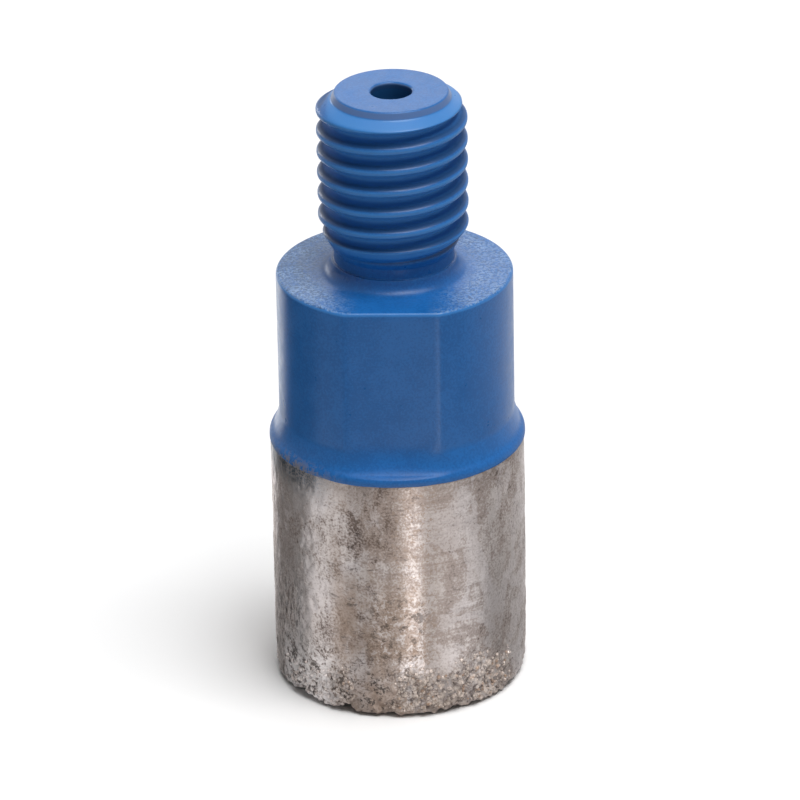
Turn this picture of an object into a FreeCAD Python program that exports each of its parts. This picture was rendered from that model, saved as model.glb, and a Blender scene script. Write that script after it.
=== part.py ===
import FreeCAD, Part
import math
import os
import Sketcher

# Diamond finger bit: a sintered diamond sleeve brazed on a steel shank that
# screws into a spindle by its M12 x 1.75 right-hand stud.
# The bit stands on its working end. The origin is the centre of that end, +Z runs
# along the axis to the stud, and the wrench flats face -Y and +Y. Millimetres.

# Driving sizes: name, value, meaning
DRIVING = [
    ("sleeve_diameter", "20", "outside of the diamond sleeve"),
    ("sleeve_length", "20.4", "working end to the painted collar"),
    ("sleeve_bore", "10", "bore that slides over the spigot"),
    ("edge_wear", "0.6", "bevel worn on the outer working edge, 45 degrees"),
    ("braze_gap", "0.05", "room for the brazing metal, on the radius"),
    ("spigot_recess", "3", "spigot end behind the working end"),
    ("spigot_chamfer", "0.5", "chamfer on the spigot end, 45 degrees"),
    ("water_bore", "3.2", "water passage through the shank"),
    ("collar_length", "0.55", "collar at full diameter, below the taper"),
    ("taper_length", "1.15", "taper from the collar in to the body"),
    ("body_diameter", "18.5", "painted body"),
    ("body_length", "14", "sleeve to shoulder"),
    ("rim_bevel", "0.3", "bevel on the rim of the shoulder, 45 degrees"),
    ("flat_depth", "0.75", "metal off each side for the flats, 17 across them"),
    ("flat_length", "12.7", "shoulder to the lower end of a flat"),
    ("cutter_radius", "1.5", "radius that the cutter leaves at the end of a flat"),
    ("cutter_overrun", "0.6", "how far a cutter stands outside the metal"),
    ("stud_length", "15", "shoulder to the top of the stud"),
    ("stud_chamfer", "1.25", "lead at the top of the stud, 45 degrees"),
    ("neck_diameter", "9.4", "undercut below the thread"),
    ("neck_fillet", "1.8", "radius between the shoulder and the neck"),
    ("neck_length", "2", "shoulder to the run-out cone"),
    ("neck_slope", "30", "run-out cone from the axis, degrees"),
    ("thread_major", "11.7", "outside of the thread"),
    ("thread_minor", "9.85", "bottom of the thread groove"),
    ("thread_pitch", "1.75", "distance between the turns"),
    ("flank_angle", "30", "each flank from square to the axis, degrees"),
    ("root_width", "0.29", "flat at the bottom of the thread groove"),
    ("thread_start", "1.35", "shoulder to the first groove"),
]

# Radii and heights above the working end that follow from them
DERIVED = [
    ("sleeve_radius", "=sleeve_diameter / 2"),
    ("bore_radius", "=sleeve_bore / 2"),
    ("spigot_radius", "=bore_radius - braze_gap"),
    ("spigot_tip_radius", "=spigot_radius - spigot_chamfer"),
    ("spigot_tip_top", "=spigot_recess + spigot_chamfer"),
    ("water_radius", "=water_bore / 2"),
    ("body_radius", "=body_diameter / 2"),
    ("taper_foot", "=sleeve_length + collar_length"),
    ("taper_top", "=taper_foot + taper_length"),
    ("shoulder", "=sleeve_length + body_length"),
    ("flat_offset", "=body_radius - flat_depth"),
    ("flat_end", "=shoulder - flat_length"),
    ("flat_turn", "=flat_end + cutter_radius"),
    ("cutter_turn", "=flat_offset + cutter_radius"),
    ("cutter_top", "=shoulder + cutter_overrun"),
    ("cutter_side", "=cutter_turn + cutter_overrun"),
    ("neck_radius", "=neck_diameter / 2"),
    ("neck_top", "=shoulder + neck_length"),
    ("major_radius", "=thread_major / 2"),
    ("minor_radius", "=thread_minor / 2"),
    ("cone_top", "=neck_top + (major_radius - neck_radius) / tan(neck_slope)"),
    ("stud_top", "=shoulder + stud_length"),
    ("chamfer_foot", "=stud_top - stud_chamfer"),
    ("stud_tip_radius", "=major_radius - stud_chamfer"),
    ("mouth_radius", "=major_radius + cutter_overrun"),
    ("groove_centre", "=shoulder + thread_start"),
    ("half_root", "=root_width / 2"),
    ("half_mouth", "=half_root + (mouth_radius - minor_radius) * tan(flank_angle)"),
    ("root_low", "=groove_centre - half_root"),
    ("root_high", "=groove_centre + half_root"),
    ("mouth_low", "=groove_centre - half_mouth"),
    ("mouth_high", "=groove_centre + half_mouth"),
    ("groove_rise", "=stud_top - groove_centre + thread_pitch"),
]

doc = FreeCAD.newDocument("FingerBit")
sheet = doc.addObject("Spreadsheet::Sheet", "Sizes")
for row, (alias, amount, meaning) in enumerate(DRIVING, start=1):
    sheet.set("A%d" % row, alias)
    sheet.set("B%d" % row, amount)
    sheet.set("C%d" % row, meaning)
    sheet.setAlias("B%d" % row, alias)
for row, (alias, formula) in enumerate(DERIVED, start=len(DRIVING) + 2):
    sheet.set("A%d" % row, alias)
    sheet.set("B%d" % row, formula)
    sheet.setAlias("B%d" % row, alias)
doc.recompute()

# Angles on a circle that is drawn to the left of its centre and below it
LEFTMOST = math.pi
LOWEST = 3 * math.pi / 2

# How near a point lies to count as on a surface
NEAR = 0.001


def size(alias):
    # the size as a number, for the first drawing of a line and for finding edges
    return float(sheet.get(alias)) if alias else 0.0


def new_body(label):
    body = doc.addObject("PartDesign::Body", label)
    body.Label = label
    body.Placement = FreeCAD.Placement()
    return body


def origin_plane(body, role):
    return next(item for item in body.Origin.OriginFeatures if item.Role == role)


def new_sketch(body, name, role):
    sketch = body.newObject("Sketcher::SketchObject", name)
    sketch.AttachmentSupport = [(origin_plane(body, role), "")]
    sketch.MapMode = "FlatFace"
    return sketch


def dimension(sketch, kind, geometry, alias):
    # a dimension that follows its cell
    index = sketch.addConstraint(Sketcher.Constraint(kind, *geometry, size(alias)))
    sketch.setExpression("Constraints[%d]" % index, "Sizes." + alias)


def place_start(sketch, line, across, up):
    # the line starts at these two sizes from the origin, where None is on the axis;
    # a sketch has its origin at point 1 of geometry -1, the level axis, and -2 is upright
    if across:
        dimension(sketch, "DistanceX", (-1, 1, line, 1), across)
    else:
        sketch.addConstraint(Sketcher.Constraint("PointOnObject", line, 1, -2))
    if up:
        dimension(sketch, "DistanceY", (-1, 1, line, 1), up)
    else:
        sketch.addConstraint(Sketcher.Constraint("PointOnObject", line, 1, -1))


def draw_outline(sketch, corners):
    # straight lines that close through corners given as (across, up) sizes
    points = [FreeCAD.Vector(size(across), size(up), 0) for across, up in corners]
    for start, end in zip(points, points[1:] + points[:1]):
        sketch.addGeometry(Part.LineSegment(start, end))
    for line, (across, up) in enumerate(corners):
        following = (line + 1) % len(corners)
        sketch.addConstraint(Sketcher.Constraint("Coincident", line, 2, following, 1))
        place_start(sketch, line, across, up)


def turn(body, name, corners):
    # a ring or bar turned about the upright axis
    sketch = new_sketch(body, name + "Profile", "XZ_Plane")
    draw_outline(sketch, corners)
    turned = body.newObject("PartDesign::Revolution", name)
    turned.Profile = sketch
    turned.ReferenceAxis = (sketch, ["V_Axis"])
    doc.recompute()
    return turned


def ring_edges(feature, radius, height):
    # the round edges of this radius at this height
    names = []
    for number, edge in enumerate(feature.Shape.Edges, start=1):
        is_round = edge.Curve.TypeId == "Part::GeomCircle"
        at_height = abs(edge.CenterOfMass.z - size(height)) < NEAR
        if is_round and at_height and abs(edge.Curve.Radius - size(radius)) < NEAR:
            names.append("Edge%d" % number)
    return names


def rim_edges(feature, height, inner_radius):
    # the level edges at this height that lie outside a circle
    names = []
    for number, edge in enumerate(feature.Shape.Edges, start=1):
        box = edge.BoundBox
        is_level = abs(box.ZMin - size(height)) < NEAR and abs(box.ZMax - size(height)) < NEAR
        middle = edge.valueAt((edge.FirstParameter + edge.LastParameter) / 2)
        if is_level and FreeCAD.Vector(middle.x, middle.y, 0).Length > size(inner_radius) + NEAR:
            names.append("Edge%d" % number)
    return names


def round_edges(body, name, base, edges, radius):
    rounded = body.newObject("PartDesign::Fillet", name)
    rounded.Base = (base, edges)
    rounded.setExpression("Radius", "Sizes." + radius)
    doc.recompute()
    return rounded


def bevel_edges(body, name, base, edges, width):
    bevelled = body.newObject("PartDesign::Chamfer", name)
    bevelled.Base = (base, edges)
    bevelled.setExpression("Size", "Sizes." + width)
    doc.recompute()
    return bevelled


# The diamond sleeve: one sintered ring, with its outer working edge worn

sleeve = new_body("diamond_sleeve")
ring = turn(sleeve, "SleeveRing", [
    ("bore_radius", None),
    ("sleeve_radius", None),
    ("sleeve_radius", "sleeve_length"),
    ("bore_radius", "sleeve_length"),
])
working_edge = ring_edges(ring, "sleeve_radius", None)
bevel_edges(sleeve, "EdgeWear", ring, working_edge, "edge_wear")

# The shank: one bar, turned from the spigot in the sleeve to the stud

shank = new_body("threaded_shank")
bar = turn(shank, "TurnedBar", [
    (None, "spigot_recess"),
    ("spigot_tip_radius", "spigot_recess"),
    ("spigot_radius", "spigot_tip_top"),
    ("spigot_radius", "sleeve_length"),
    ("sleeve_radius", "sleeve_length"),
    ("sleeve_radius", "taper_foot"),
    ("body_radius", "taper_top"),
    ("body_radius", "shoulder"),
    ("neck_radius", "shoulder"),
    ("neck_radius", "neck_top"),
    ("major_radius", "cone_top"),
    ("major_radius", "chamfer_foot"),
    ("stud_tip_radius", "stud_top"),
    (None, "stud_top"),
])
neck_edge = ring_edges(bar, "neck_radius", "shoulder")
neck = round_edges(shank, "NeckFillet", bar, neck_edge, "neck_fillet")

# Two wrench flats, milled down from the shoulder, each ending in the cutter's radius

flat_sketch = new_sketch(shank, "FlatCutter", "YZ_Plane")
flat_foot = FreeCAD.Vector(size("flat_offset"), size("flat_turn"), 0)
arc_centre = FreeCAD.Vector(size("cutter_turn"), size("flat_turn"), 0)
arc_end = FreeCAD.Vector(size("cutter_turn"), size("flat_end"), 0)
outer_low = FreeCAD.Vector(size("cutter_side"), size("flat_end"), 0)
outer_high = FreeCAD.Vector(size("cutter_side"), size("cutter_top"), 0)
flat_high = FreeCAD.Vector(size("flat_offset"), size("cutter_top"), 0)
circle = Part.Circle(arc_centre, FreeCAD.Vector(0, 0, 1), size("cutter_radius"))
arc = flat_sketch.addGeometry(Part.ArcOfCircle(circle, LEFTMOST, LOWEST))
level = flat_sketch.addGeometry(Part.LineSegment(arc_end, outer_low))
side = flat_sketch.addGeometry(Part.LineSegment(outer_low, outer_high))
top = flat_sketch.addGeometry(Part.LineSegment(outer_high, flat_high))
face = flat_sketch.addGeometry(Part.LineSegment(flat_high, flat_foot))
flat_sketch.addConstraint(Sketcher.Constraint("Tangent", arc, 2, level, 1))
flat_sketch.addConstraint(Sketcher.Constraint("Coincident", level, 2, side, 1))
flat_sketch.addConstraint(Sketcher.Constraint("Coincident", side, 2, top, 1))
flat_sketch.addConstraint(Sketcher.Constraint("Coincident", top, 2, face, 1))
flat_sketch.addConstraint(Sketcher.Constraint("Tangent", face, 2, arc, 1))
flat_sketch.addConstraint(Sketcher.Constraint("Vertical", face))
flat_sketch.addConstraint(Sketcher.Constraint("Vertical", side))
dimension(flat_sketch, "Radius", (arc,), "cutter_radius")
place_start(flat_sketch, face, "flat_offset", "cutter_top")
place_start(flat_sketch, side, "cutter_side", "flat_end")
flat_sketch.addConstraint(Sketcher.Constraint("Horizontal", top))
flat = shank.newObject("PartDesign::Pocket", "WrenchFlat")
flat.Profile = flat_sketch
flat.Type = "ThroughAll"
flat.Midplane = True
doc.recompute()
flats = shank.newObject("PartDesign::Mirrored", "WrenchFlats")
flats.Originals = [flat]
flats.MirrorPlane = (origin_plane(shank, "XZ_Plane"), [""])
shank.Tip = flats
doc.recompute()
shoulder_rim = rim_edges(flats, "shoulder", "mouth_radius")
rim = bevel_edges(shank, "ShoulderRim", flats, shoulder_rim, "rim_bevel")

# The water passage, drilled right through

water_sketch = new_sketch(shank, "WaterCircle", "XY_Plane")
centre = FreeCAD.Vector(0, 0, 0)
drill = water_sketch.addGeometry(Part.Circle(centre, FreeCAD.Vector(0, 0, 1), size("water_radius")))
water_sketch.addConstraint(Sketcher.Constraint("Coincident", drill, 3, -1, 1))
dimension(water_sketch, "Radius", (drill,), "water_radius")
water = shank.newObject("PartDesign::Pocket", "WaterPassage")
water.Profile = water_sketch
water.Type = "ThroughAll"
water.Reversed = True
doc.recompute()

# The thread: one right-hand groove from the undercut out through the chamfer

groove_sketch = new_sketch(shank, "GrooveSection", "XZ_Plane")
draw_outline(groove_sketch, [
    ("minor_radius", "root_low"),
    ("mouth_radius", "mouth_low"),
    ("mouth_radius", "mouth_high"),
    ("minor_radius", "root_high"),
])
doc.recompute()
thread = shank.newObject("PartDesign::SubtractiveHelix", "Thread")
thread.Profile = groove_sketch
thread.ReferenceAxis = (groove_sketch, ["V_Axis"])
thread.Mode = "pitch-height-angle"
thread.setExpression("Pitch", "Sizes.thread_pitch")
thread.setExpression("Height", "Sizes.groove_rise")
thread.LeftHanded = False
doc.recompute()

# Each cut has to take metal away, and each piece has to be one sound solid

for cut, before in ((flats, neck), (water, rim), (thread, water)):
    if cut.Shape.Volume > before.Shape.Volume - NEAR:
        raise RuntimeError("%s cuts nothing" % cut.Label)
for item in doc.Objects:
    if "Invalid" in item.State or "Error" in item.State:
        raise RuntimeError("%s failed" % item.Label)
os.makedirs("parts", exist_ok=True)
for piece in (sleeve, shank):
    if piece.Shape.isNull() or not piece.Shape.isValid() or len(piece.Shape.Solids) != 1:
        raise RuntimeError("%s is not one sound solid" % piece.Label)
    piece.Shape.exportStep("parts/%s.step" % piece.Label)
    print(piece.Label, "volume", round(piece.Shape.Volume, 1))
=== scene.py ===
import math

import bpy
import numpy as np
from mathutils import Matrix, Vector


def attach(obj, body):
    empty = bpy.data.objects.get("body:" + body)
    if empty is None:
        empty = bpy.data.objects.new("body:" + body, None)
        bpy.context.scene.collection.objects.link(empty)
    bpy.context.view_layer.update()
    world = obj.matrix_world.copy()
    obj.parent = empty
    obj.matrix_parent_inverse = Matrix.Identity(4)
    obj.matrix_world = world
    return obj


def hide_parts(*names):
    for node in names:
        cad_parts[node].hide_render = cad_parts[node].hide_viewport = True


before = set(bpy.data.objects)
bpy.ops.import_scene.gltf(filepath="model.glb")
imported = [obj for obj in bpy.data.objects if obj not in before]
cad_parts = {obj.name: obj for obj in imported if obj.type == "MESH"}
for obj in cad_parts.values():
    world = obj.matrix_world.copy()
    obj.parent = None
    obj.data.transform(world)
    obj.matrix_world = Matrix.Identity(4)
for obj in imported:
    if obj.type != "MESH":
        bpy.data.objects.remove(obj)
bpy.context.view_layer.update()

mm = 0.001
fullTurn = 2 * math.pi
print("frame loaded")


# small helpers for node trees

def addNode(tree, kind, values=None, **settings):
    made = tree.nodes.new(kind)
    for name, value in settings.items():
        setattr(made, name, value)
    for key, value in (values or {}).items():
        if isinstance(value, bpy.types.NodeSocket):
            tree.links.new(value, made.inputs[key])
        else:
            made.inputs[key].default_value = value
    return made


def calc(tree, operation, *terms, clamp=False):
    made = addNode(tree, "ShaderNodeMath", dict(enumerate(terms)), operation=operation, use_clamp=clamp)
    return made.outputs[0]


def plus(tree, first, second, clamp=False):
    return calc(tree, "ADD", first, second, clamp=clamp)


def minus(tree, first, second):
    return calc(tree, "SUBTRACT", first, second)


def times(tree, *terms):
    product = terms[0]
    for term in terms[1:]:
        product = calc(tree, "MULTIPLY", product, term)
    return product


def fade(tree, value, start, end, low=0.0, high=1.0):
    # a smooth step from low to high between two limits
    terms = {"Value": value, "From Min": start, "From Max": end, "To Min": low, "To Max": high}
    return addNode(tree, "ShaderNodeMapRange", terms, interpolation_type="SMOOTHSTEP").outputs[0]


def heightFade(tree, parts, start, end, low=0.0, high=1.0):
    # the same between two heights in millimetres
    return fade(tree, parts[2], start * mm, end * mm, low, high)


def noiseAt(tree, vector, scale, detail=4.0, roughness=0.55, distortion=0.0):
    terms = {"Vector": vector, "Scale": scale, "Detail": detail}
    terms |= {"Roughness": roughness, "Distortion": distortion}
    return addNode(tree, "ShaderNodeTexNoise", terms).outputs[0]


def cellDistance(tree, vector, scale):
    return addNode(tree, "ShaderNodeTexVoronoi", {"Vector": vector, "Scale": scale}).outputs["Distance"]


def stretched(tree, vector, scale, shift=(0, 0, 0)):
    made = addNode(tree, "ShaderNodeVectorMath", {0: vector, 1: scale, 2: shift}, operation="MULTIPLY_ADD")
    return made.outputs[0]


def split(tree, vector):
    return addNode(tree, "ShaderNodeSeparateXYZ", {0: vector}).outputs


def joined(tree, x, y, z):
    return addNode(tree, "ShaderNodeCombineXYZ", {0: x, 1: y, 2: z}).outputs[0]


def axisDistance(tree, parts):
    squares = plus(tree, calc(tree, "POWER", parts[0], 2), calc(tree, "POWER", parts[1], 2))
    return calc(tree, "SQRT", squares)


def storedValue(tree, name):
    return addNode(tree, "ShaderNodeAttribute", attribute_name=name).outputs["Fac"]


def blendColours(tree, amount, first, second):
    return addNode(tree, "ShaderNodeMix", {0: amount, 6: first, 7: second}, data_type="RGBA").outputs[2]


def facing(tree, parts, azimuth, full, none):
    # 1 on the side that looks to this azimuth, falling to 0 between two angles off it
    a = math.radians(azimuth)
    along = plus(tree, times(tree, parts[0], math.sin(a)), times(tree, parts[1], -math.cos(a)))
    cosine = calc(tree, "DIVIDE", along, calc(tree, "MAXIMUM", axisDistance(tree, parts), 0.0001))
    return fade(tree, cosine, math.cos(math.radians(none)), math.cos(math.radians(full)))


# small helpers for materials and shapes

def newMaterial(name):
    material = bpy.data.materials.new(name)
    material.use_nodes = True
    tree = material.node_tree
    tree.nodes.clear()
    shader = addNode(tree, "ShaderNodeBsdfPrincipled")
    addNode(tree, "ShaderNodeOutputMaterial", {"Surface": shader.outputs[0]})
    coordinates = addNode(tree, "ShaderNodeTexCoord").outputs["Object"]
    return material, tree, shader, coordinates


def wireSurface(tree, shader, colour, roughness, relief, strength, depth):
    # depth is the height of the bumps in millimetres
    bump = addNode(tree, "ShaderNodeBump", {"Height": relief, "Strength": strength, "Distance": depth * mm})
    tree.links.new(colour, shader.inputs["Base Color"])
    tree.links.new(roughness, shader.inputs["Roughness"])
    tree.links.new(bump.outputs[0], shader.inputs["Normal"])


def newShapeTree(name, sizes):
    # a Geometry Nodes tree with one named input for each size and one for the material
    tree = bpy.data.node_groups.new(name, "GeometryNodeTree")
    tree.interface.new_socket("Geometry", in_out="INPUT", socket_type="NodeSocketGeometry")
    tree.interface.new_socket("Geometry", in_out="OUTPUT", socket_type="NodeSocketGeometry")
    for label in sizes:
        tree.interface.new_socket(label, in_out="INPUT", socket_type="NodeSocketFloat")
    tree.interface.new_socket("Material", in_out="INPUT", socket_type="NodeSocketMaterial")
    return tree, addNode(tree, "NodeGroupInput").outputs


def storeValue(tree, geometry, name, value, domain="POINT"):
    terms = {"Geometry": geometry, "Name": name, "Value": value}
    made = addNode(tree, "GeometryNodeStoreNamedAttribute", terms, data_type="FLOAT", domain=domain)
    return made.outputs[0]


def moved(tree, geometry, **terms):
    # sets or offsets the position of the points
    return addNode(tree, "GeometryNodeSetPosition", {"Geometry": geometry, **terms}).outputs[0]


def randomValue(tree, lowest, highest, seed):
    terms = {2: lowest, 3: highest, "Seed": seed}
    return addNode(tree, "FunctionNodeRandomValue", terms, data_type="FLOAT").outputs[1]


def scaledVector(tree, vector, scale):
    return addNode(tree, "ShaderNodeVectorMath", {0: vector, "Scale": scale}, operation="SCALE").outputs[0]


def closeShapeTree(tree, geometry, material):
    realized = addNode(tree, "GeometryNodeRealizeInstances", {"Geometry": geometry}).outputs[0]
    dressed = addNode(tree, "GeometryNodeSetMaterial", {"Geometry": realized, "Material": material})
    addNode(tree, "NodeGroupOutput", {"Geometry": dressed.outputs[0]})


def shapeWith(piece, tree, sizes, material):
    # runs the tree on the piece and leaves a plain mesh
    modifier = piece.modifiers.new(tree.name, "NODES")
    modifier.node_group = tree
    for item in tree.interface.items_tree:
        if item.in_out == "INPUT" and item.name in sizes:
            modifier[item.identifier] = float(sizes[item.name])
        if item.in_out == "INPUT" and item.name == "Material":
            modifier[item.identifier] = material
    bpy.context.view_layer.update()
    shaped = piece.evaluated_get(bpy.context.evaluated_depsgraph_get())
    mesh = bpy.data.meshes.new_from_object(shaped)
    piece.modifiers.clear()
    piece.data = mesh


def turnsOf(columns):
    return np.arange(columns) * fullTurn / columns


def ringMesh(name, rows, columns):
    # a closed skin round the axis: every row is a ring, its radius and height in millimetres,
    # each one number or one number for each column
    turn = turnsOf(columns)
    level = np.zeros_like(turn)
    radius = np.array([r + level for r, z in rows])
    height = np.array([z + level for r, z in rows])
    points = np.stack([radius * np.cos(turn), radius * np.sin(turn), height], axis=2).reshape(-1, 3) * mm
    count = len(rows)
    row, column = np.meshgrid(np.arange(count), np.arange(columns), indexing="ij")
    nextRow, nextColumn = (row + 1) % count, (column + 1) % columns
    corners = [row * columns + column, row * columns + nextColumn,
               nextRow * columns + nextColumn, nextRow * columns + column]
    faces = np.stack([c.ravel() for c in corners], axis=1)
    mesh = bpy.data.meshes.new(name)
    mesh.from_pydata(points.tolist(), [], faces.tolist())
    mesh.shade_smooth()
    piece = bpy.data.objects.new(name, mesh)
    bpy.context.scene.collection.objects.link(piece)
    return piece


def arcRows(centreRadius, centreHeight, radius, start, end, steps):
    # a round in the profile, from start to end in degrees
    angles = np.radians(np.linspace(start, end, steps))
    return [(centreRadius + radius * math.cos(a), centreHeight + radius * math.sin(a)) for a in angles]


def bend(start, knee, end, steps):
    # a curved line that leaves start towards the knee and comes into end from it
    made = []
    for t in np.linspace(0, 1, steps):
        weights = ((1 - t) ** 2, 2 * t * (1 - t), t ** 2)
        made.append(tuple(sum(w * p[axis] for w, p in zip(weights, (start, knee, end))) for axis in (0, 1)))
    return made


def softMin(a, b, width):
    # the lower of two lengths with a rounded corner where they cross
    share = np.clip(0.5 + 0.5 * (b - a) / width, 0, 1)
    return b * (1 - share) + a * share - width * share * (1 - share)


def waves(turn, seed, lowest, highest):
    # an uneven line round the axis, about -1 to 1, that closes on itself
    rng = np.random.default_rng(seed)
    total = np.zeros_like(turn)
    for order in range(lowest, highest + 1):
        total += rng.normal() / order ** 0.7 * np.sin(order * turn + rng.uniform(0, fullTurn))
    return total / np.abs(total).max()


# blue paint on the shank: scales are in cells per metre, heights in millimetres

paint = {
    "deepBlue": (0.0095, 0.104, 0.335, 1),
    "freshBlue": (0.0125, 0.128, 0.40, 1),
    "dustAndLift": (0.25, 0.38, 0.59, 1),
    "smut": (0.016, 0.07, 0.18, 1),
    "shadeBlue": (0.006, 0.05, 0.155, 1),
    "paleWearAndHighlight": (0.05, 0.22, 0.55, 1),
    # a lighter blue, painted light for the groove roots
    "root": (0.035, 0.18, 0.5, 1),
    "wallShade": (0.085, 0.155, 0.33, 1),
    "bareMetal": (0.20, 0.18, 0.17, 1),
    "specular": 0.25,
    "cloudScale": 420,
    "grainScale": 5400,
    "peelScale": 1300,
    "driftScale": 520,
    "dustScale": 4700,
    "ringScale": 4200,
    "smutScale": 5600,
    "chipScale": 1900,
    "threadFoot": (37.2, 37.8),
    "noseFoot": (48.3, 48.5),
    "noseKnee": (48.82, 48.9),
    "noseEdge": (49.3, 49.38),
    # heights of the painted highlight along the shoulder's rim
    "rim": (34.08, 34.2, 34.37, 34.395),
    "noseWallShade": (48.86, 48.96, 49.28, 49.36),
    "crestGloss": (48.4, 48.2),
    "lip": (21.6, 21.1),
    "holeMouth": (1.9, 1.7),
    "holeShade": (49.36, 49.1),
}


def turningMarks(tree, parts, p):
    # fine rings round the axis that drift a little from side to side
    place = joined(tree, axisDistance(tree, parts), times(tree, parts[0], 0.03), 0)
    return noiseAt(tree, place, p["ringScale"], detail=2)


def wearAndPaintedHighlights(tree, parts, crests, p):
    # crests and nose rubbed pale, partly wear and partly painted highlight, and a painted highlight along
    # the shoulder's rim
    nose = heightFade(tree, parts, *p["noseFoot"], 0.6, 0.8)
    nose = times(tree, nose, heightFade(tree, parts, *p["noseKnee"], 1, 0.35))
    nose = times(tree, nose, heightFade(tree, parts, *p["noseEdge"], 1, 0.3))
    rimFoot, rimFull, rimFading, rimTop = p["rim"]
    rim = heightFade(tree, parts, rimTop, rimFading, 0, 0.5)
    rim = times(tree, heightFade(tree, parts, rimFoot, rimFull), rim)
    return plus(tree, times(tree, crests, nose), rim, clamp=True)


def flankShade(tree, grooveDepth, cloud):
    # painted shade on the upper flank of each turn, from just below the crest to near the root, where the
    # crest above shades it
    depth = plus(tree, grooveDepth, times(tree, minus(tree, cloud, 0.5), 0.15))
    band = times(tree, fade(tree, depth, 0.07, 0.2, 0, 0.8), fade(tree, depth, 0.4, 0.8, 1, 0.0))
    return times(tree, band, storedValue(tree, "upperFlank"))


def mixPaint(p):
    material, tree, shader, coordinates = newMaterial("bluePaint")
    parts = split(tree, coordinates)
    cloud = noiseAt(tree, coordinates, p["cloudScale"], detail=5, roughness=0.6)
    grain = noiseAt(tree, coordinates, p["grainScale"], detail=3, roughness=0.65)
    peel = noiseAt(tree, coordinates, p["peelScale"], detail=2)
    onShoulder = storedValue(tree, "dustAndLift")
    rings = times(tree, turningMarks(tree, parts, p), onShoulder)
    grooveDepth = storedValue(tree, "groove")
    crests = times(tree, fade(tree, grooveDepth, 0.08, 0.0), heightFade(tree, parts, *p["threadFoot"]))

    # dust lies in drifts of fine speckle, thicker to the left where it also paints light over the stud's
    # shade, and smut between it and along the turning marks
    drifts = fade(tree, noiseAt(tree, coordinates, p["driftScale"], detail=5, roughness=0.6), 0.4, 0.6)
    dustGrain = noiseAt(tree, coordinates, p["dustScale"], detail=3, roughness=0.65)
    speckle = times(tree, fade(tree, dustGrain, 0.475, 0.545), plus(tree, times(tree, drifts, 0.5), 0.5))
    dustAndLiftAmount = times(tree, onShoulder, plus(tree, times(tree, speckle, 0.78), 0.04))
    smutGrain = noiseAt(tree, coordinates, p["smutScale"], detail=2)
    smut = times(tree, onShoulder, fade(tree, smutGrain, 0.51, 0.43, 0, 0.85))
    smut = plus(tree, smut, fade(tree, rings, 0.5, 0.66, 0, 0.5), clamp=True)

    # painted shade darkens the wall of the nose and the inside of the hole, and the lip is chipped
    wallFoot, wallFull, wallFading, wallTop = p["noseWallShade"]
    noseWallShade = heightFade(tree, parts, wallTop, wallFading, 0, 0.9)
    noseWallShade = times(tree, heightFade(tree, parts, wallFoot, wallFull), noseWallShade)
    rimOutside, rimInside = p["holeMouth"]
    paintedHoleShade = fade(tree, axisDistance(tree, parts), rimOutside * mm, rimInside * mm)
    paintedHoleShade = times(tree, paintedHoleShade, heightFade(tree, parts, *p["holeShade"], 0, 0.8))
    flaking = noiseAt(tree, coordinates, p["chipScale"], detail=6, roughness=0.65)
    chips = times(tree, storedValue(tree, "chips"), fade(tree, flaking, 0.49, 0.52))

    shade = plus(tree, times(tree, cloud, 0.35), times(tree, grain, 0.65))
    colour = blendColours(tree, fade(tree, shade, 0.43, 0.57), p["deepBlue"], p["freshBlue"])
    for amount, over in ((flankShade(tree, grooveDepth, cloud), "shadeBlue"),
                         # painted light: the groove roots are a lighter blue, lifting the shade deep in them
                         (fade(tree, grooveDepth, 0.4, 0.8, 0, 0.9), "root"),
                         (wearAndPaintedHighlights(tree, parts, crests, p), "paleWearAndHighlight"),
                         (noseWallShade, "wallShade"), (paintedHoleShade, "shadeBlue"),
                         (smut, "smut"), (dustAndLiftAmount, "dustAndLift"), (chips, "bareMetal")):
        colour = blendColours(tree, amount, colour, p[over])

    # rougher in the dust, in the grooves, on the crests below the nose and near the lip
    roughness = fade(tree, plus(tree, times(tree, cloud, 0.5), times(tree, peel, 0.5)), 0.3, 0.7, 0.27, 0.38)
    for extra in (times(tree, dustAndLiftAmount, 0.2),
                  fade(tree, grooveDepth, 0.1, 0.5, 0, 0.35),
                  times(tree, crests, heightFade(tree, parts, *p["crestGloss"], 0, 0.15)),
                  heightFade(tree, parts, *p["lip"], 0, 0.14)):
        roughness = plus(tree, roughness, extra, clamp=True)
    relief = plus(tree, times(tree, peel, 0.6), times(tree, grain, 0.5))
    relief = plus(tree, relief, times(tree, rings, 0.8))
    wireSurface(tree, shader, colour, roughness, relief, 0.35, 0.02)
    shader.inputs["Specular IOR Level"].default_value = p["specular"]
    return material


paintMaterial = mixPaint(paint)
print("paint mixed")


# the shank: spigot, collar, taper, body with two flats, shoulder, neck, stud; in millimetres and degrees

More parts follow.
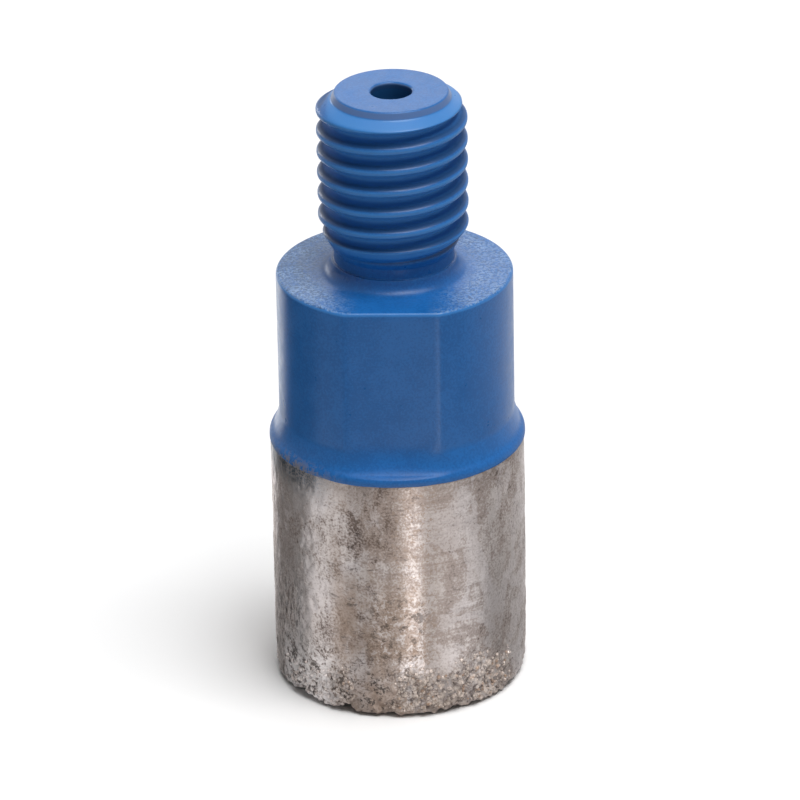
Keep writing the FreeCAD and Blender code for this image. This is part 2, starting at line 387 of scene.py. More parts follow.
shank = {
    "columns": 280,
    "rowsPerTurn": 28,
    "holeRadius": 1.6,
    "holeRound": 0.2,
    "holeWear": 0.02,
    "spigotFoot": 3.0,
    "spigotChamfer": 0.5,
    "spigotRadius": 4.95,
    "collarFoot": 20.4,
    "collarRadius": 10.07,
    "lipWall": 9.97,
    "lapLeast": 0.03,
    "lapMost": 0.2,
    "collarTop": 20.78,
    "collarRound": 0.3,
    "taperKnee": (9.6, 21.32),
    "taperTop": 22.6,
    "bodyRadius": 9.25,
    "flatOffset": 8.5,
    "flatTurn": 23.2,
    "runOut": (1.5, 2.3),
    "edgeSoftness": 0.12,
    "runOutSoftness": 0.9,
    "shoulder": 34.4,
    "rimRound": 0.28,
    "neckRadius": 4.7,
    "neckFoot": 35.5,
    "ledge": 0.2,
    "neckFillet": 1.1,
    "neckTop": 36.4,
    "coneSlope": 30,
    "coneSoftness": 0.1,
    "crestRadius": 5.85,
    "leadFoot": 48.36,
    "leadSoftness": 0.2,
    "noseKnee": (4.68, 48.84),
    "kneeSoftness": 0.08,
    "faceRadius": 4.4,
    "top": 49.4,
    "topRound": 0.12,
    "dustInside": (5.2, 1.6),
    "dustSideways": (2.6, 3.2),
    "dustBehind": (-2.5, 3.0),
    "dustLeftLift": 0.02,
    "chipsTop": (21.3, 0.9),
    "chipsAzimuth": (-52, 30),
}

threadSizes = {
    "Pitch": 1.75 * mm,
    "First Groove": 35.75 * mm,
    "Lowest Cut": 35.4 * mm,
    "Root Radius": 4.925 * mm,
    "Root Half Width": 0.145 * mm,
    "Groove Depth": 0.925 * mm,
    "Flank Rise": 1 / math.tan(math.radians(30)),
    "Root Round": 0.3 * mm,
    "Crest Round": 0.34 * mm,
}


def spigotRows(s):
    # inside the sleeve
    foot, radius, chamfer = s["spigotFoot"], s["spigotRadius"], s["spigotChamfer"]
    rows = [(s["holeRadius"], foot), (radius - chamfer, foot), (radius, foot + chamfer)]
    return rows + [(radius, height) for height in np.linspace(foot + 1, s["collarFoot"], 5)]


def lipRows(s, turn):
    # the lip of paint that laps over the sleeve, and the upright wall of the collar
    uneven = 0.5 + 0.5 * waves(turn, 4, 2, 40)
    lap = s["collarFoot"] - s["lapLeast"] - (s["lapMost"] - s["lapLeast"]) * uneven
    inner, outer, foot = s["lipWall"], s["collarRadius"], s["collarFoot"]
    rows = [(inner - 0.4, foot), (inner, foot - 0.01), (inner, lap + 0.05),
            (outer - 0.055, lap), (outer - 0.02, lap + 0.03), (outer, lap + 0.09)]
    roundFoot = s["collarTop"] - s["collarRound"]
    return rows + [(outer, height) for height in np.linspace(foot + 0.05, roundFoot - 0.02, 3)]


def bodyRows(s, turn):
    # taper and body, with the flats cut away, up to the shoulder's rim
    knee, collar = s["taperKnee"], (s["collarRadius"], s["collarTop"])
    roundFoot = (s["collarRadius"], s["collarTop"] - s["collarRound"])
    middle = ((knee[0] + collar[0]) / 2, (knee[1] + collar[1]) / 2)
    taperEnd = (s["bodyRadius"], s["taperTop"])
    rimFoot = s["shoulder"] - s["rimRound"]
    sides = bend(roundFoot, collar, middle, 8) + bend(middle, knee, taperEnd, 14)[1:]
    sides += [(s["bodyRadius"], height) for height in np.linspace(s["taperTop"] + 0.3, rimFoot, 32)]
    across = np.maximum(np.abs(np.sin(turn)), 0.05)
    outward, length = s["runOut"]
    rows = []
    for radius, height in sides:
        below = max(0.0, s["flatTurn"] - height)
        if below < length:
            offset = s["flatOffset"] + outward * (1 - math.sqrt(1 - (below / length) ** 2))
            softness = s["edgeSoftness"] + s["runOutSoftness"] * below / length
            radius = softMin(radius, offset / across, softness)
        rows.append((radius, height))
    rim = rows[-1][0]
    rimArc = arcRows(-s["rimRound"], rimFoot, s["rimRound"], 0, 90, 8)[1:]
    return rows + [(rim + radius, height) for radius, height in rimArc]


def neckRows(s, outer):
    # the shoulder, the fillet up to the neck, its small ledge and the neck
    fillet, neck, foot = s["neckFillet"], s["neckRadius"], s["neckFoot"]
    ledge = neck + s["ledge"]
    inner = ledge + fillet
    rows = [(outer + (inner - outer) * share, s["shoulder"]) for share in np.linspace(0, 1, 14)[1:-1]]
    rows += arcRows(inner, s["shoulder"] + fillet, fillet, 270, 190, 13)
    rows += bend((ledge, foot - 0.13), (ledge, foot), (neck + 0.08, foot), 5)
    rows += bend((neck + 0.03, foot), (neck, foot), (neck, foot + 0.06), 3)
    return rows + [(neck, height) for height in np.linspace(foot + 0.15, s["neckTop"] - 0.1, 8)]


def studRows(s):
    # the stud, as a plain bar that the thread is cut in, up to the edge of its end face
    step = threadSizes["Pitch"] / mm / s["rowsPerTurn"]
    slope = math.tan(math.radians(s["coneSlope"]))
    knee, faceRadius = s["noseKnee"], s["faceRadius"]
    lead = (s["crestRadius"] - knee[0]) / (knee[1] - s["leadFoot"])
    draft = (knee[0] - faceRadius) / (s["top"] - knee[1])
    lastRow = s["top"] - s["topRound"]
    rows = []
    for height in np.arange(s["neckTop"], lastRow, step):
        cone = s["neckRadius"] + (height - s["neckTop"]) * slope
        chamfer = knee[0] + (knee[1] - height) * lead
        nose = knee[0] + (knee[1] - height) * draft
        bar = softMin(cone, s["crestRadius"], s["coneSoftness"])
        bar = softMin(bar, -softMin(-chamfer, -nose, s["kneeSoftness"]), s["leadSoftness"])
        rows.append((bar, height))
    return rows + bend((faceRadius + s["topRound"] * draft, lastRow), (faceRadius, s["top"]),
                       (faceRadius - s["topRound"], s["top"]), 6)


def endRows(s, turn):
    # the end face, the rounded mouth of the hole and the hole down to the spigot's foot
    mouth = s["holeRadius"] + s["holeRound"]
    rows = [(radius, s["top"]) for radius in np.linspace(s["faceRadius"] - s["topRound"], mouth, 10)[1:]]
    uneven = 1 + s["holeWear"] * waves(turn, 9, 2, 9)
    mouthArc = arcRows(mouth, s["top"] - s["holeRound"], s["holeRound"], 90, 180, 6)[1:]
    rows += [(radius * uneven, height) for radius, height in mouthArc]
    heights = (48.6, 47.6, 46, 43, 38, 30, 20, 10, s["spigotFoot"] + 0.5)
    return rows + [(s["holeRadius"] * uneven, height) for height in heights]


def shankRows(s):
    turn = turnsOf(s["columns"])
    rows = spigotRows(s) + lipRows(s, turn) + bodyRows(s, turn)
    rimTop = rows[-1][0]
    return rows + neckRows(s, rimTop) + studRows(s) + endRows(s, turn)


def threadTree(sizes):
    # moves each point of a bar in to the wall of a helical groove, where that lies deeper
    tree, given = newShapeTree("cutThread", sizes)
    parts = split(tree, addNode(tree, "GeometryNodeInputPosition").outputs[0])
    radius = axisDistance(tree, parts)
    turned = calc(tree, "DIVIDE", calc(tree, "ARCTAN2", parts[1], parts[0]), fullTurn)
    climbed = calc(tree, "DIVIDE", minus(tree, parts[2], given["First Groove"]), given["Pitch"])
    phase = calc(tree, "FRACT", plus(tree, minus(tree, climbed, turned), 0.5))
    away = times(tree, calc(tree, "ABSOLUTE", minus(tree, phase, 0.5)), given["Pitch"])
    upFlank = times(tree, minus(tree, away, given["Root Half Width"]), given["Flank Rise"])
    depth = calc(tree, "SMOOTH_MAX", upFlank, 0.0, given["Root Round"])
    wall = plus(tree, given["Root Radius"], depth)
    cut = calc(tree, "SMOOTH_MIN", radius, wall, given["Crest Round"])
    above = calc(tree, "GREATER_THAN", parts[2], given["Lowest Cut"])
    share = calc(tree, "DIVIDE", cut, calc(tree, "MAXIMUM", radius, 0.0001))
    pulledIn = joined(tree, times(tree, parts[0], share), times(tree, parts[1], share), parts[2])
    # the materials read how deep a point lies in the groove, and which flank faces up, for the painted shade
    # and light in the grooves
    grooveDepth = calc(tree, "DIVIDE", times(tree, minus(tree, radius, cut), above), given["Groove Depth"])
    upperFlank = times(tree, fade(tree, phase, 0.46, 0.58, 1, 0), above)
    marked = storeValue(tree, given["Geometry"], "groove", grooveDepth)
    marked = storeValue(tree, marked, "upperFlank", upperFlank)
    threaded = moved(tree, marked, Selection=above, Position=pulledIn)
    closeShapeTree(tree, threaded, given["Material"])
    return tree


def paintMarks(piece, s):
    # dust on the sides of the shoulder, laid thicker to the left as painted light over the stud's shade, and
    # chipped paint at the left of the lip;
    # each pair in the settings says where a mark begins and over what width it sets in
    def setIn(value, pair):
        return np.clip((value - pair[0]) / pair[1], 0, 1)

    x, y, z = (np.array([v.co for v in piece.data.vertices]) / mm).T
    onShoulder = setIn(np.hypot(x, y), s["dustInside"]) * (np.abs(z - s["shoulder"]) < 0.1)
    sides = np.maximum(setIn(np.abs(x), s["dustSideways"]), setIn(y, s["dustBehind"]))
    # the lean lays more dust to the left, painted light where the stud shades the shoulder
    dustAndLift = onShoulder * sides * (1 - s["dustLeftLift"] * x)
    top, width = s["chipsTop"]
    lip = np.clip((top - z) / width, 0, 1) * (z > s["collarFoot"] - 0.4)
    azimuth, reach = s["chipsAzimuth"]
    off = np.abs(np.degrees(np.arctan2(x, -y)) - azimuth)
    chips = lip * np.clip(1 - off / reach, 0, 1)
    for name, amounts in (("dustAndLift", dustAndLift), ("chips", chips)):
        stored = piece.data.attributes.new(name, "FLOAT", "POINT")
        stored.data.foreach_set("value", amounts.astype(np.float32))


paintedShank = ringMesh("paintedShank", shankRows(shank), shank["columns"])
shapeWith(paintedShank, threadTree(threadSizes), threadSizes, paintMaterial)
paintMarks(paintedShank, shank)
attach(paintedShank, "root")
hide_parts("threaded_shank")
print("shank turned and threaded:", len(paintedShank.data.polygons), "faces")


# places on the sleeve: the azimuth they lie at, the angles off it within which they are full and
# beyond which they are gone, in degrees, and the heights between which they set in, in millimetres

zones = {
    "crustRight": (29, 14, 40, 5.4, 2.6),
    "crustLeft": (-42, 10, 26, 5.0, 2.2),
    "foot": (2.2, 0.5),
    "stripe": (8, 6, 14),
    "paleSide": (-33, 10, 26),
    "chipped": (-38, 16, 44),
    "wiped": (26, 11, 24, 4.5, 7.5),
    "smooth": (26, 11, 26, 4.5, 7.5),
    "lowFront": (-9, 15, 25, 17, 8),
    "ribbed": (-66, 12, 24, 13.5, 7),
    "limed": (-46, 14, 25, 7, 2.5),
    "footFront": (-15, 9, 22, 6.5, 2.5),
    "overspray": (-62, 12, 36, 17.2, 20.2),
    "underLipBand": (18.3, 20.3),
    "crinkled": (1, 8, 17),
    "crinkledTop": (12, 9.5),
    "crinkledFoot": (4, 5.5),
}


def zoneAt(tree, parts, name, low=0.0, high=1.0):
    azimuth, full, none, start, end = zones[name]
    sideways = facing(tree, parts, azimuth, full, none)
    return times(tree, sideways, heightFade(tree, parts, start, end, low, high))


def crustMasks(tree, place, parts):
    # where the sleeve is crusted low down, right and left, and the same with the foot of the wall all round
    ragged = times(tree, minus(tree, noiseAt(tree, place, 420), 0.5), 5 * mm)
    raggedParts = [parts[0], parts[1], plus(tree, parts[2], ragged)]
    right = zoneAt(tree, raggedParts, "crustRight")
    left = zoneAt(tree, raggedParts, "crustLeft", 0, 0.6)
    corner = calc(tree, "MAXIMUM", right, left)
    foot = heightFade(tree, raggedParts, *zones["foot"], 0, 0.55)
    return corner, calc(tree, "MAXIMUM", corner, foot)


def calmStripe(tree, parts):
    # the upright stripe that is rubbed smooth, in front
    return facing(tree, parts, *zones["stripe"])


# sintered metal of the sleeve: scales are in cells per metre

sinter = {
    "dark": (0.11, 0.084, 0.077, 1),
    "middle": (0.36, 0.305, 0.285, 1),
    "pale": (0.60, 0.55, 0.535, 1),
    "smear": (0.63, 0.585, 0.585, 1),
    "chalk": (0.72, 0.68, 0.675, 1),
    "umber": (0.3, 0.22, 0.17, 1),
    "crumb": (0.70, 0.60, 0.53, 1),
    "rust": (0.44, 0.28, 0.18, 1),
    "gap": (0.045, 0.038, 0.036, 1),
    "underLipDark": (0.14, 0.105, 0.085, 1),
    "overspray": (0.035, 0.075, 0.115, 1),
    "anisotropic": 0.93,
    "grainTurn": 0.25,
    "shadeEdgeTurn": 11.8,
    "patchScale": 210,
    "mottleScale": 1100,
    "gritScale": 5600,
    "smearScale": 260,
    "stainScale": 230,
    "crackScale": 900,
    "noduleScale": 1500,
    "pitScale": 2300,
    "flakeScale": 1400,
    "speckScale": 3400,
}


def sleeveGrains(tree, coordinates, parts, p):
    # the noises and zones that several coats share
    flattened = stretched(tree, coordinates, (1, 1, 0.6))
    lessFlattened = stretched(tree, coordinates, (1, 1, 0.7))
    turningLines = stretched(tree, coordinates, (70, 70, 5200))
    corner, crusted = crustMasks(tree, coordinates, parts)
    return {
        "patches": noiseAt(tree, flattened, p["patchScale"], detail=8, roughness=0.68, distortion=0.5),
        "mottle": noiseAt(tree, lessFlattened, p["mottleScale"], detail=6, roughness=0.7),
        "grit": noiseAt(tree, coordinates, p["gritScale"], detail=3, roughness=0.6),
        "scratches": noiseAt(tree, turningLines, 1, detail=4, roughness=0.6),
        "flakes": noiseAt(tree, coordinates, p["flakeScale"], detail=6, roughness=0.75),
        "corner": corner,
        "crusted": crusted,
        "wiped": zoneAt(tree, parts, "wiped"),
        "lowFront": zoneAt(tree, parts, "lowFront", 0.4, 1),
        "ribbed": zoneAt(tree, parts, "ribbed"),
        "limed": zoneAt(tree, parts, "limed"),
        "footFront": zoneAt(tree, parts, "footFront"),
    }


def sleeveTone(tree, g):
    # how pale the metal is, with turning lines where it is wiped
    tone = plus(tree, times(tree, g["patches"], 0.34), times(tree, g["mottle"], 0.3))
    tone = plus(tree, tone, times(tree, g["grit"], 0.36))
    lines = plus(tree, times(tree, g["scratches"], 0.42), 0.3)
    even = plus(tree, times(tree, tone, 0.5), times(tree, lines, 0.5))
    return plus(tree, tone, times(tree, minus(tree, even, tone), times(tree, g["wiped"], 0.7)))


def smearCoat(tree, coordinates, paleSide, grit, p):
    place = stretched(tree, coordinates, (1, 1, 0.7), (0.05, 0.02, 0.01))
    smears = noiseAt(tree, place, p["smearScale"], detail=7, roughness=0.6, distortion=0.8)
    smears = fade(tree, plus(tree, smears, times(tree, paleSide, 2.5)), 0.53, 0.57, 0, 0.6)
    return times(tree, smears, fade(tree, grit, 0.35, 0.5, 0.5, 1))


def brownCoats(tree, coordinates, lowFront, p):
    # brown stains, most of them low in front, and the cracks in them
    place = stretched(tree, coordinates, (1, 1, 0.6), (0.02, 0.01, 0))
    stains = noiseAt(tree, place, p["stainScale"], detail=6, roughness=0.6)
    brown = times(tree, fade(tree, stains, 0.38, 0.58), plus(tree, times(tree, lowFront, 0.7), 0.12))
    place = stretched(tree, coordinates, (1, 1, 3.2))
    cracks = noiseAt(tree, place, p["crackScale"], detail=7, roughness=0.72)
    cracks = times(tree, fade(tree, cracks, 0.43, 0.36), plus(tree, times(tree, lowFront, 0.45), 0.2))
    return [(brown, "umber"), (cracks, "gap")]


def topCoats(tree, parts, g):
    # darker just under the lip, least on the stripe, and blue overspray at the left
    underLipBand = heightFade(tree, parts, *zones["underLipBand"])
    underLipDark = times(tree, underLipBand, fade(tree, g["mottle"], 0.4, 0.6, 0.1, 0.55))
    underLipDark = times(tree, underLipDark, fade(tree, calmStripe(tree, parts), 0, 1, 1, 0.1))
    spray = times(tree, zoneAt(tree, parts, "overspray"), fade(tree, g["grit"], 0.4, 0.6, 0.3, 0.9))
    return [(underLipDark, "underLipDark"), (spray, "overspray")]


def pitMask(tree, coordinates, g, p):
    pits = fade(tree, noiseAt(tree, coordinates, p["pitScale"], detail=5, roughness=0.65), 0.42, 0.33)
    often = plus(tree, times(tree, g["crusted"], 0.6), fade(tree, g["patches"], 0.56, 0.4, 0.05, 0.3))
    return times(tree, pits, often)


def flakedCoats(tree, coordinates, parts, g):
    # upright ribs at the left, lime left of the front, brown and broken skin low in front
    ribs = noiseAt(tree, stretched(tree, coordinates, (3300, 3300, 1300)), 1, detail=5, roughness=0.75)
    crinkled = heightFade(tree, parts, *zones["crinkledTop"], 0, 0.7)
    crinkled = times(tree, crinkled, heightFade(tree, parts, *zones["crinkledFoot"]))
    crinkled = times(tree, crinkled, facing(tree, parts, *zones["crinkled"]))
    broken = calc(tree, "MAXIMUM", calc(tree, "MAXIMUM", g["limed"], g["footFront"]), crinkled)
    return [
        (times(tree, g["ribbed"], fade(tree, ribs, 0.52, 0.42, 0, 0.75)), "gap"),
        (times(tree, g["ribbed"], fade(tree, ribs, 0.52, 0.6, 0, 0.45)), "pale"),
        (times(tree, g["limed"], fade(tree, g["flakes"], 0.46, 0.53, 0, 0.9)), "chalk"),
        (times(tree, g["footFront"], 0.4), "umber"),
        (times(tree, crinkled, fade(tree, g["flakes"], 0.52, 0.58, 0, 0.6)), "chalk"),
        (times(tree, broken, fade(tree, g["flakes"], 0.47, 0.41, 0, 0.85)), "gap"),
    ]


def stripeCoats(tree, coordinates, parts, p):
    # specks on the rubbed stripe, and painted shade that begins sharply at its right edge
    specks = noiseAt(tree, coordinates, p["speckScale"], detail=4, roughness=0.7)
    specks = times(tree, fade(tree, specks, 0.47, 0.4, 0, 0.72), calmStripe(tree, parts))
    turn = math.radians(p["shadeEdgeTurn"])
    pastShadeEdge = plus(tree, times(tree, parts[0], math.cos(turn)), times(tree, parts[1], math.sin(turn)))
    shaded = fade(tree, pastShadeEdge, 0.3 * mm, 4 * mm, 0.3, 0)
    shaded = times(tree, fade(tree, pastShadeEdge, -0.05 * mm, 0.05 * mm), shaded)
    shaded = times(tree, shaded, calc(tree, "LESS_THAN", parts[1], 0))
    return [(specks, "umber"), (shaded, "umber")]


def crumbColour(tree, limed, p):
    tone = storedValue(tree, "crumbTone")
    colour = blendColours(tree, fade(tree, tone, 0.24, 0.48), p["dark"], p["crumb"])
    colour = blendColours(tree, fade(tree, tone, 0.86, 0.95), colour, p["rust"])
    colour = blendColours(tree, times(tree, limed, 0.6), colour, p["chalk"])
    onCrumb = times(tree, calc(tree, "GREATER_THAN", tone, 0.1), 0.6)
    return onCrumb, colour


def mixSinter(p):
    material, tree, shader, coordinates = newMaterial("sinteredMetal")
    parts = split(tree, coordinates)
    g = sleeveGrains(tree, coordinates, parts, p)
    tone = sleeveTone(tree, g)
    paleSide = times(tree, facing(tree, parts, *zones["paleSide"]), 0.028)
    nodules = fade(tree, cellDistance(tree, coordinates, p["noduleScale"]), 0.6, 0.2, 0, 0.6)
    pits = pitMask(tree, coordinates, g, p)

    coats = [(fade(tree, plus(tree, tone, paleSide), 0.48, 0.575), "pale"),
             (smearCoat(tree, coordinates, paleSide, g["grit"], p), "smear")]
    coats += brownCoats(tree, coordinates, g["lowFront"], p) + topCoats(tree, parts, g)
    coats += [(times(tree, g["corner"], nodules), "crumb"), (pits, "gap")]
    coats += flakedCoats(tree, coordinates, parts, g) + stripeCoats(tree, coordinates, parts, p)
    colour = blendColours(tree, fade(tree, tone, 0.4, 0.475), p["dark"], p["middle"])
    for amount, over in coats:
        colour = blendColours(tree, amount, colour, p[over])
    onCrumb, crumbs = crumbColour(tree, g["limed"], p)
    colour = blendColours(tree, onCrumb, colour, crumbs)

    roughness = fade(tree, tone, 0.38, 0.62, 0.56, 0.32)
    roughness = plus(tree, roughness, times(tree, g["crusted"], 0.25), clamp=True)
    relief = plus(tree, times(tree, g["mottle"], 1.0), times(tree, g["grit"], 0.5))
    relief = plus(tree, relief, times(tree, g["scratches"], 0.2))
    relief = minus(tree, relief, times(tree, pits, 0.6))
    strength = fade(tree, tone, 0.42, 0.58, 0.5, 0.2)
    strength = times(tree, strength, minus(tree, 1, times(tree, g["wiped"], 0.5)))
    strength = times(tree, strength, minus(tree, 1, times(tree, calmStripe(tree, parts), 0.6)))
    wireSurface(tree, shader, colour, roughness, relief, strength, 0.06)
    dull = calc(tree, "MAXIMUM", g["crusted"], times(tree, g["ribbed"], 0.8))
    tree.links.new(fade(tree, dull, 0, 1, 0.75, 0.3), shader.inputs["Metallic"])
    shader.inputs["Anisotropic"].default_value = p["anisotropic"]
    shader.inputs["Anisotropic Rotation"].default_value = p["grainTurn"]
    return material


sinterMaterial = mixSinter(sinter)
print("sintered metal mixed")


# the sleeve: a ring with a worn lower edge, then pits, chips and crumbs

sleeve = {
    "columns": 400,
    "wallStep": 0.15,
    "radius": 10.04,
    "bore": 5.0,
    "boreEdge": (0.12, 0.15),
    "length": 20.4,
    "edgeRound": 0.75,
    "topRound": 0.06,
}

wearSizes = {
    "Wave Depth": 0.05 * mm,
    "Skin Depth": 0.04 * mm,
    "Crust Depth": 0.4 * mm,
    "Chip Height": 3.4 * mm,
    "Chip Depth": 0.8 * mm,
    "Bore Radius": 5.3 * mm,
    "Crumb Size": 0.19 * mm,
    "Crumbs Per Area": 13e6,
}

wearScales = {
    "waves": 180,
    "peeling": 430,
    "lumps": 1500,
    "swellings": 700,
    "chips": 300,
    "dents": 5200.0,
}


def sleeveRows(s):
    wall, bottom, bore, length = s["radius"], s["edgeRound"], s["bore"], s["length"]
    inward, up = s["boreEdge"]
    rows = [(bore, up), (bore + inward, 0.0)]
    rows += [(r, 0.0) for r in np.linspace(bore + 0.3, wall - bottom - 0.1, 26)]
    rows += arcRows(wall - bottom, bottom, bottom, 270, 360, 12)
    rows += [(wall, z) for z in np.arange(bottom + s["wallStep"], length - 0.1, s["wallStep"])]
    rows += [(wall - s["topRound"], length), (bore, length)]
    return rows + [(bore, z) for z in np.linspace(length, 0.5, 10)[1:]]


def sinkDepth(tree, given, place, parts, crusted):
    # how far the skin lies in: waves and peeled patches, crust, and chips at the foot
    bumpy = minus(tree, 1, calmStripe(tree, parts))
    swell = times(tree, noiseAt(tree, place, wearScales["waves"], detail=3), given["Wave Depth"])
    swell = times(tree, swell, fade(tree, bumpy, 0, 1, 0.4, 1))
    flattened = stretched(tree, place, (1, 1, 0.7))
    peeling = noiseAt(tree, flattened, wearScales["peeling"], detail=6, roughness=0.68)
    peeled = times(tree, fade(tree, peeling, 0.45, 0.55), minus(tree, 1, zoneAt(tree, parts, "smooth")))
    skin = times(tree, peeled, bumpy, given["Skin Depth"])
    lumps = fade(tree, cellDistance(tree, place, wearScales["lumps"]), 0.12, 0.6)
    swellings = noiseAt(tree, place, wearScales["swellings"], detail=4)
    lumps = plus(tree, times(tree, lumps, 0.6), times(tree, swellings, 0.5))
    crust = times(tree, crusted, minus(tree, lumps, 0.5), given["Crust Depth"])
    low = fade(tree, parts[2], given["Chip Height"], 0.0)
    sides = plus(tree, times(tree, facing(tree, parts, *zones["chipped"]), 0.85), 0.15)
    chipped = fade(tree, noiseAt(tree, place, wearScales["chips"], detail=4), 0.44, 0.6)
    chips = times(tree, times(tree, low, sides), times(tree, chipped, given["Chip Depth"]))
    return plus(tree, plus(tree, swell, skin), plus(tree, crust, chips))


def strewnCrumbs(tree, given, place, worn, density):
    # dented grains, each with a turn, a size and a tone of its own
    strewn = addNode(tree, "GeometryNodeDistributePointsOnFaces", {
        "Mesh": worn, "Density": density, "Seed": 5}, distribute_method="RANDOM").outputs[0]
    grain = {"Radius": given["Crumb Size"], "Subdivisions": 1}
    crumb = addNode(tree, "GeometryNodeMeshIcoSphere", grain).outputs[0]
    dented = {"Vector": place, "Scale": wearScales["dents"], "Detail": 1.0}
    dents = addNode(tree, "ShaderNodeTexNoise", dented).outputs[1]
    dents = addNode(tree, "ShaderNodeVectorMath", {0: dents, 1: (0.5, 0.5, 0.5)}, operation="SUBTRACT")
    crumb = moved(tree, crumb, Offset=scaledVector(tree, dents.outputs[0], given["Crumb Size"]))
    spin = addNode(tree, "FunctionNodeRandomValue", {
        0: (0, 0, 0), 1: (fullTurn, fullTurn, fullTurn), "Seed": 6}, data_type="FLOAT_VECTOR").outputs[0]
    size = randomValue(tree, 0.3, 1.0, 7)
    tone = randomValue(tree, 0.2, 1.0, 8)
    crumbs = addNode(tree, "GeometryNodeInstanceOnPoints", {
        "Points": strewn, "Instance": crumb, "Rotation": spin, "Scale": size}).outputs[0]
    return storeValue(tree, crumbs, "crumbTone", tone, "INSTANCE")


def wearTree(sizes):
    # sinks the skin, keeps it above the floor, and strews crumbs where the wall is thickly crusted
    tree, given = newShapeTree("wearSleeve", sizes)
    place = addNode(tree, "GeometryNodeInputPosition").outputs[0]
    parts = split(tree, place)
    outside = calc(tree, "GREATER_THAN", axisDistance(tree, parts), given["Bore Radius"])
    corner, crusted = crustMasks(tree, place, parts)
    sink = sinkDepth(tree, given, place, parts, crusted)
    normal = addNode(tree, "GeometryNodeInputNormal").outputs[0]
    inward = scaledVector(tree, normal, times(tree, sink, -1))
    worn = moved(tree, given["Geometry"], Selection=outside, Offset=inward)
    sunk = split(tree, addNode(tree, "GeometryNodeInputPosition").outputs[0])
    stood = joined(tree, sunk[0], sunk[1], calc(tree, "MAXIMUM", sunk[2], 0.0))
    worn = moved(tree, worn, Position=stood)
    thick = times(tree, corner, calc(tree, "GREATER_THAN", corner, 0.15))
    offFloor = calc(tree, "GREATER_THAN", parts[2], 0.6 * mm)
    density = times(tree, times(tree, outside, times(tree, offFloor, thick)), given["Crumbs Per Area"])
    crumbs = strewnCrumbs(tree, given, place, worn, density)
    both = addNode(tree, "GeometryNodeJoinGeometry")
    tree.links.new(crumbs, both.inputs[0])
    tree.links.new(worn, both.inputs[0])
    closeShapeTree(tree, both.outputs[0], given["Material"])
    return tree


wornSleeve = ringMesh("wornSleeve", sleeveRows(sleeve), sleeve["columns"])
shapeWith(wornSleeve, wearTree(wearSizes), wearSizes, sinterMaterial)
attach(wornSleeve, "root")
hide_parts("diamond_sleeve")
print("sleeve worn:", len(wornSleeve.data.polygons), "faces")


# stage: pale floor, soft lamps, camera at the photograph's angle

stage = {
    "floorColour": (0.8, 0.8, 0.8, 1),
    "floorSeen": (0.95, 0.95, 0.95, 1),
    "floorSide": 6.0,
    "worldLight": 0.12,
    "lampCentre": 0.025,
}


def seenShare(tree):
    # 1 for what the camera, a reflection or glass sees, 0 for the light that falls on the object
    rays = addNode(tree, "ShaderNodeLightPath").outputs
    shown = calc(tree, "MAXIMUM", rays["Is Camera Ray"], rays["Is Glossy Ray"])
    return calc(tree, "MAXIMUM", shown, rays["Is Transmission Ray"])


def layFloor(s):
    half = s["floorSide"] / 2
    corners = [(-half, -half, 0), (half, -half, 0), (half, half, 0), (-half, half, 0)]
    mesh = bpy.data.meshes.new("floor")
    mesh.from_pydata(corners, [], [(0, 1, 2, 3)])
    floor = bpy.data.objects.new("floor", mesh)
    bpy.context.scene.collection.objects.link(floor)
    material, tree, shader, _ = newMaterial("paleFloor")
    shown = blendColours(tree, seenShare(tree), s["floorColour"], s["floorSeen"])
    tree.links.new(shown, shader.inputs["Base Color"])
    shader.inputs["Roughness"].default_value = 0.9
    shader.inputs["Specular IOR Level"].default_value = 0.0
    mesh.materials.append(material)


def lightWorld(s):
    world = bpy.data.worlds.new("studio")
    bpy.context.scene.world = world
    world.use_nodes = True
    tree = world.node_tree
    tree.nodes.clear()
    strength = plus(tree, times(tree, seenShare(tree), 1 - s["worldLight"]), s["worldLight"])
    background = addNode(tree, "ShaderNodeBackground", {"Color": (1, 1, 1, 1), "Strength": strength})
    addNode(tree, "ShaderNodeOutputWorld", {"Surface": background.outputs[0]})


def standBack(azimuth, elevation):
    # the direction from the object to something at this azimuth and elevation, in degrees
    a, e = math.radians(azimuth), math.radians(elevation)
    return Vector((math.sin(a) * math.cos(e), -math.cos(a) * math.cos(e), math.sin(e)))


def hangLamp(name, azimuth, elevation, distance, width, height, power):
    # sizes in metres, power in watts
    back = standBack(azimuth, elevation)
    lamp = bpy.data.lights.new(name, "AREA")
    lamp.shape = "RECTANGLE"
    lamp.size, lamp.size_y = width, height
    lamp.energy = power
    holder = bpy.data.objects.new(name, lamp)
    holder.location = Vector((0, 0, stage["lampCentre"])) + back * distance
    holder.rotation_euler = (-back).to_track_quat("-Z", "Y").to_euler()
    bpy.context.scene.collection.objects.link(holder)


layFloor(stage)
lightWorld(stage)
hangLamp("topBox", 50, 76, 1.5, 0.9, 0.9, 25)
hangLamp("backBox", 180, 30, 0.6, 0.36, 0.2, 0.36)
hangLamp("edgeBox", -146, 11, 0.5, 0.06, 0.12, 0.2)


# cards that only the gloss shows: most lie on the floor, one stands overhead behind

# the azimuths between which the sleeve or the body mirrors each card, and its brightness
sleeveCards = [(-80, -54, 0.0), (-54, -50, 0.25), (-50, -46, 0.6), (-46, -42, 1.0), (-42, -26, 1.6),
               (-22, -13, 0.7), (-8, 3, 1.25), (3.5, 11.6, 3.3), (11.6, 16, 0.45), (16, 22, 1.05),
               (22, 39, 1.55), (43, 60, 0.1), (60, 80, 0.4)]
bodyCards = [(-77, -66, 2.3), (-64, -38, 0.0), (-38, 36, 0.5)]


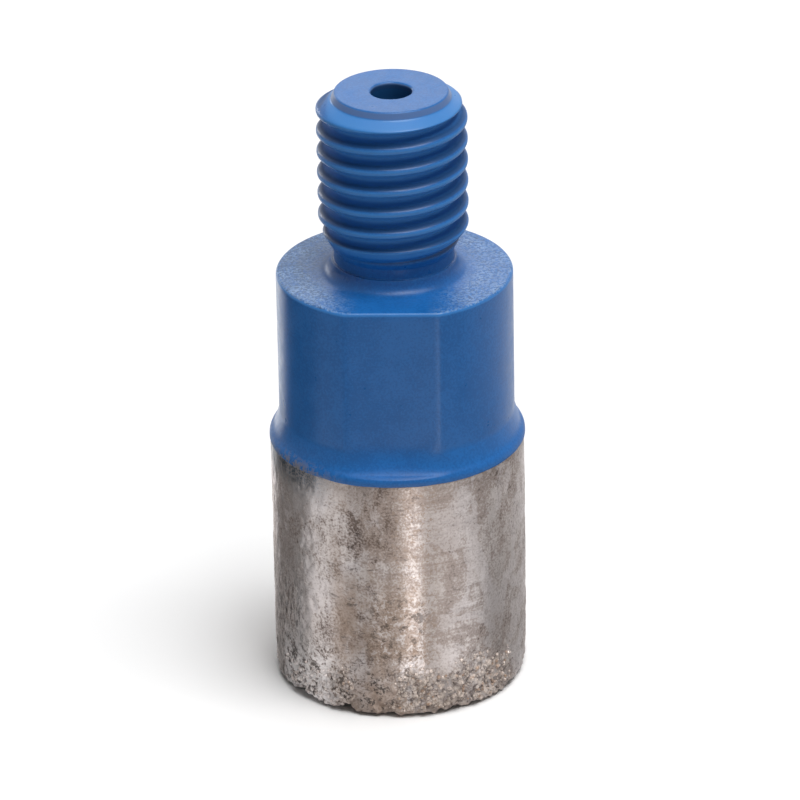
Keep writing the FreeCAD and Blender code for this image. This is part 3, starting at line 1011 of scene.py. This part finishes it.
def fan(first, last, near, far):
    # the part of the floor, near to far off the sleeve in mm, that its wall mirrors between two azimuths
    edge = sleeve["radius"] + 0.3
    reaches = ((first, near), (last, near), (last, far), (first, far))
    return [(standBack(angle, 0) * edge + standBack(2 * angle, 0) * reach) * mm for angle, reach in reaches]


def ringPart(first, last, inner, outer):
    # the part of a ring round the object, between two radii in metres, that it mirrors between two azimuths
    angles = np.linspace(2 * first, 2 * last, 12)
    outside = [standBack(angle, 0) * outer for angle in angles]
    return outside + [standBack(angle, 0) * inner for angle in angles[::-1]]


def layCard(number, outline, glow):
    # each card lies a little above the one before it
    mesh = bpy.data.meshes.new("card")
    lifted = [(p.x, p.y, p.z + (0.2 + 0.02 * number) * mm) for p in outline]
    mesh.from_pydata(lifted, [], [list(range(len(lifted)))])
    card = bpy.data.objects.new("card", mesh)
    bpy.context.scene.collection.objects.link(card)
    material = bpy.data.materials.new("card")
    material.use_nodes = True
    tree = material.node_tree
    tree.nodes.clear()
    glowing = addNode(tree, "ShaderNodeEmission", {"Color": (1, 1, 1, 1), "Strength": glow})
    addNode(tree, "ShaderNodeOutputMaterial", {"Surface": glowing.outputs[0]})
    mesh.materials.append(material)
    card.visible_camera = card.visible_diffuse = card.visible_shadow = card.visible_transmission = False


cards = [(fan(first, last, 0, 43), glow) for first, last, glow in sleeveCards]
cards += [(ringPart(first, last, 0.054, 0.4), glow) for first, last, glow in bodyCards]
# the stripe's card goes on further out, over the body's, for the top of the wall
cards.append((fan(3.5, 11.6, 40, 95), 3.4))
darkCorners = ((0.07, -128), (0.07, -80), (0.014, -80), (0.014, -128))
cards.append(([standBack(angle, 0) * reach for reach, angle in darkCorners], 0.0))
overheadCorners = ((-40, 58), (40, 58), (60, 74), (-60, 74))
cards.append(([standBack(180 + turn, rise) * 0.6 for turn, rise in overheadCorners], 2.6))
for number, (outline, glow) in enumerate(cards):
    layCard(number, outline, glow)


# camera: lengths in millimetres, angles in degrees

view = {
    "distance": 503.5,
    "elevation": 25.31,
    "azimuth": 2.0,
    "roll": 1.05,
    "targetHeight": 25.39,
    "aimSideways": 0.25,
    "aimHeight": 23.03,
    "focal": 288.84,
    "sensor": 36,
}


def standCamera(v):
    camera = bpy.data.objects.new("camera", bpy.data.cameras.new("camera"))
    camera.data.sensor_width = v["sensor"]
    camera.data.lens = v["focal"]
    camera.data.clip_start = 0.01
    back = standBack(v["azimuth"], v["elevation"])
    camera.location = Vector((0, 0, v["targetHeight"] * mm)) + back * v["distance"] * mm
    azimuth = math.radians(v["azimuth"])
    side = Vector((math.cos(azimuth), math.sin(azimuth), 0))
    aim = side * v["aimSideways"] * mm + Vector((0, 0, v["aimHeight"] * mm))
    look = (aim - camera.location).to_track_quat("-Z", "Y").to_matrix().to_4x4()
    roll = Matrix.Rotation(math.radians(-v["roll"]), 4, "Z")
    camera.matrix_world = Matrix.Translation(camera.location) @ look @ roll
    bpy.context.scene.collection.objects.link(camera)
    bpy.context.scene.camera = camera


standCamera(view)
bpy.context.scene.view_settings.view_transform = "Standard"
print("stage set")
